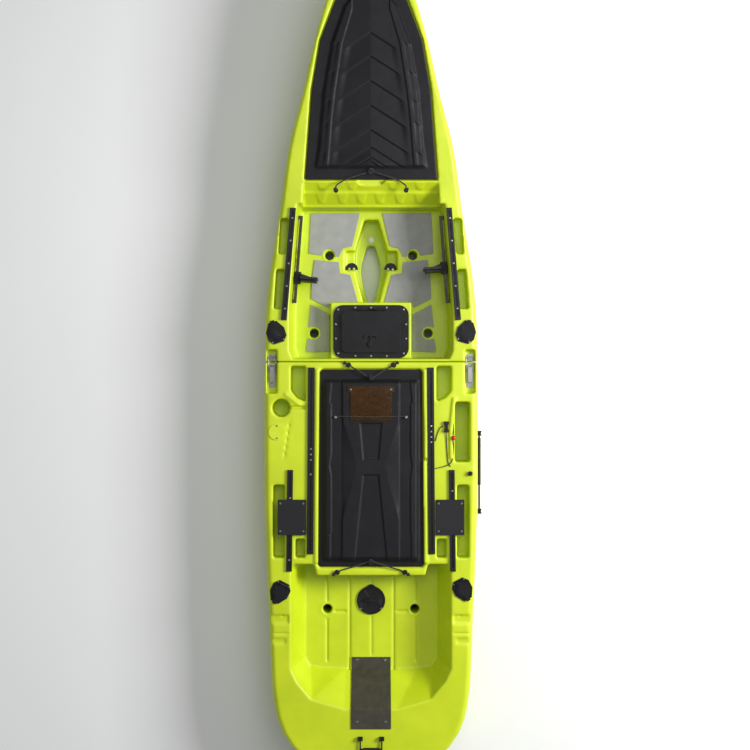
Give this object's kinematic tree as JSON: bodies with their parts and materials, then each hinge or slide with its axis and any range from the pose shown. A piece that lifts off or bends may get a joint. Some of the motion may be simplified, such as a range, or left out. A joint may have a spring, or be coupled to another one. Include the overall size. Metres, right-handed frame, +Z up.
{
  "type": "kayak",
  "caption": "Sit-on-top sectional fishing kayak with hatches, accessory rails, a pedal-drive well, rod holders and a kick-up rudder.",
  "frame": {"origin": "middle of the kayak's length and beam, at the level of its flat keel", "axes": "+X to starboard, +Y to the bow, +Z up"},
  "size_m": [0.9183, 3.742, 0.4182],
  "materials": {
    "hull_plastic": "satin rotomoulded polyethylene, yellow-green",
    "cover_plastic": "fine grained black ABS",
    "black_plastic": "satin black nylon",
    "seal_rubber": "matt",
    "deck_foam": "matt brushed grey EVA foam",
    "black_aluminium": "black anodised",
    "grey_aluminium": "satin anodised",
    "steel": "stainless",
    "bungee": "braided sleeve",
    "control_line": "braided cord",
    "line_plastic": "gloss",
    "amber_plastic": "translucent amber",
    "bronze_plate": "satin dark bronze grey"
  },
  "bodies": {
    "hull": {"bow_hull": "hull_plastic", "stern_hull": "hull_plastic", "bow_hatch_seal": "seal_rubber", "bow_hatch_hinge": "black_plastic", "bow_hatch_bungee": "bungee", "lashing_buttons": "black_plastic", "centre_hatch_frame": "cover_plastic", "pad_front_port": "deck_foam", "pad_front_starboard": "deck_foam", "pad_middle_port": "deck_foam", "pad_middle_starboard": "deck_foam", "pad_rear_port": "deck_foam", "pad_rear_starboard": "deck_foam", "front_track_port": "black_aluminium", "front_track_starboard": "black_aluminium", "rear_track_port": "black_aluminium", "rear_track_starboard": "black_aluminium", "seat_rails": "black_aluminium", "rear_plates": "black_plastic", "foot_rail_port": "grey_aluminium", "foot_rail_starboard": "grey_aluminium", "drive_lock_brackets": "steel", "rod_holder_bow_port": "black_plastic", "rod_holder_bow_starboard": "black_plastic", "rod_holder_stern_port": "black_plastic", "rod_holder_stern_starboard": "black_plastic", "latch_plates": "steel", "cover_bungees": "bungee", "round_hatch_ring": "cover_plastic", "motor_plate": "bronze_plate", "inspection_plate": "hull_plastic", "handle_saddles": "black_plastic", "rudder_bracket": "steel", "rudder_line": "control_line", "line_fittings": "line_plastic", "deck_screws": "steel"},
    "bow_hatch": {"bow_hatch_cover": "cover_plastic"},
    "centre_hatch_lid": {"centre_hatch_lid": "cover_plastic"},
    "centre_hatch_latch": {"centre_hatch_latch": "black_plastic"},
    "foot_pedal_port": {"foot_pedal_port": "black_plastic"},
    "foot_pedal_starboard": {"foot_pedal_starboard": "black_plastic"},
    "drive_lock_port": {"drive_lock_port": "black_plastic"},
    "drive_lock_starboard": {"drive_lock_starboard": "black_plastic"},
    "rod_cap_bow_port": {"rod_cap_bow_port": "black_plastic"},
    "rod_cap_bow_starboard": {"rod_cap_bow_starboard": "black_plastic"},
    "rod_cap_stern_port": {"rod_cap_stern_port": "black_plastic"},
    "rod_cap_stern_starboard": {"rod_cap_stern_starboard": "black_plastic"},
    "latch_lever_port": {"latch_lever_port": "steel"},
    "latch_lever_starboard": {"latch_lever_starboard": "steel"},
    "latch_bail_port": {"latch_bail_port": "steel"},
    "latch_bail_starboard": {"latch_bail_starboard": "steel"},
    "centre_cover": {"centre_cover": "cover_plastic", "amber_panel": "amber_plastic", "cover_screws": "steel"},
    "round_hatch_lid": {"round_hatch_lid": "cover_plastic"},
    "bow_handle": {"bow_handle": "black_plastic"},
    "stern_handle": {"stern_handle": "black_plastic"},
    "side_handle": {"side_handle": "black_plastic"},
    "rudder_head": {"rudder_head": "black_plastic"},
    "rudder_blade": {"rudder_blade": "black_plastic"}
  },
  "joints": [
    {"name": "bow_hatch_hinge", "type": "hinge", "parent": "hull", "child": "bow_hatch", "pos_m": [0, 1.56591, 0.39538], "axis": [-1, 0, 0], "range_deg": [0, 80], "deforming": ["bow_hatch_bungee"]},
    {"name": "centre_hatch_hinge", "type": "hinge", "parent": "hull", "child": "centre_hatch_lid", "pos_m": [0, 0.206, 0.252], "axis": [-1, 0, 0], "range_deg": [0, 100]},
    {"name": "centre_hatch_latch_turn", "type": "hinge", "parent": "centre_hatch_lid", "child": "centre_hatch_latch", "pos_m": [0, 0.057, 0.25], "axis": [0, 0, 1], "range_deg": [0, 90]},
    {"name": "foot_pedal_port_slide", "type": "slide", "parent": "hull", "child": "foot_pedal_port", "axis": [0.0755, 0.9971, 0], "range_m": [-0.06, 0.215]},
    {"name": "foot_pedal_starboard_slide", "type": "slide", "parent": "hull", "child": "foot_pedal_starboard", "axis": [-0.0755, 0.9971, 0], "range_m": [-0.1, 0.175]},
    {"name": "drive_lock_port_hinge", "type": "hinge", "parent": "hull", "child": "drive_lock_port", "pos_m": [-0.084, 0.384, 0.161], "axis": [1, 0, 0], "range_deg": [0, 80]},
    {"name": "drive_lock_starboard_hinge", "type": "hinge", "parent": "hull", "child": "drive_lock_starboard", "pos_m": [0.084, 0.384, 0.161], "axis": [1, 0, 0], "range_deg": [0, 80]},
    {"name": "rod_cap_bow_port_hinge", "type": "hinge", "parent": "hull", "child": "rod_cap_bow_port", "pos_m": [-0.38949, 0.07266, 0.3396], "axis": [0.9511, 0.309, 0], "range_deg": [0, 110]},
    {"name": "rod_cap_bow_starboard_hinge", "type": "hinge", "parent": "hull", "child": "rod_cap_bow_starboard", "pos_m": [0.39063, 0.07432, 0.3396], "axis": [0.9613, -0.2756, 0], "range_deg": [0, 110]},
    {"name": "rod_cap_stern_port_hinge", "type": "hinge", "parent": "hull", "child": "rod_cap_stern_port", "pos_m": [-0.36856, -0.95471, 0.3396], "axis": [-0.891, 0.454, 0], "range_deg": [0, 110]},
    {"name": "rod_cap_stern_starboard_hinge", "type": "hinge", "parent": "hull", "child": "rod_cap_stern_starboard", "pos_m": [0.37004, -0.94398, 0.3396], "axis": [-0.8829, -0.4695, 0], "range_deg": [0, 110]},
    {"name": "latch_lever_port_hinge", "type": "hinge", "parent": "hull", "child": "latch_lever_port", "pos_m": [-0.417, -0.038, 0.306], "axis": [-1, 0, 0], "range_deg": [0, 105]},
    {"name": "latch_lever_starboard_hinge", "type": "hinge", "parent": "hull", "child": "latch_lever_starboard", "pos_m": [0.417, -0.038, 0.306], "axis": [-1, 0, 0], "range_deg": [0, 105]},
    {"name": "latch_bail_port_hinge", "type": "hinge", "parent": "latch_lever_port", "child": "latch_bail_port", "pos_m": [-0.417, -0.054, 0.306], "axis": [1, 0, 0], "range_deg": [0, 105]},
    {"name": "latch_bail_starboard_hinge", "type": "hinge", "parent": "latch_lever_starboard", "child": "latch_bail_starboard", "pos_m": [0.417, -0.054, 0.306], "axis": [1, 0, 0], "range_deg": [0, 105]},
    {"name": "centre_cover_lift", "type": "slide", "parent": "hull", "child": "centre_cover", "axis": [0, 0, 1], "range_m": [0, 0.12], "deforming": ["cover_bungees"]},
    {"name": "round_hatch_turn", "type": "hinge", "parent": "hull", "child": "round_hatch_lid", "pos_m": [0, -1.042, 0.19], "axis": [0, 0, 1], "range_deg": [0, 60]},
    {"name": "bow_handle_swing", "type": "hinge", "parent": "hull", "child": "bow_handle", "pos_m": [0, 1.69, 0.4112], "axis": [1, 0, 0], "range_deg": [0, 100]},
    {"name": "stern_handle_swing", "type": "hinge", "parent": "hull", "child": "stern_handle", "pos_m": [0, -1.6, 0.3392], "axis": [-1, 0, 0], "range_deg": [0, 100]},
    {"name": "side_handle_swing", "type": "hinge", "parent": "hull", "child": "side_handle", "pos_m": [0.4603, -0.485, 0.285], "axis": [0, -1, 0], "range_deg": [0, 110]},
    {"name": "rudder_steer", "type": "hinge", "parent": "hull", "child": "rudder_head", "pos_m": [0, -1.757, 0.255], "axis": [0, 0, 1], "range_deg": [-35, 35]},
    {"name": "rudder_kick_up", "type": "hinge", "parent": "rudder_head", "child": "rudder_blade", "pos_m": [0, -1.796, 0.255], "axis": [-1, 0, 0], "range_deg": [0, 100]}
  ],
  "couplings": [
    {"joint": "latch_bail_port_hinge", "follows": "latch_lever_port_hinge", "ratio": 1},
    {"joint": "latch_bail_starboard_hinge", "follows": "latch_lever_starboard_hinge", "ratio": 1}
  ]
}
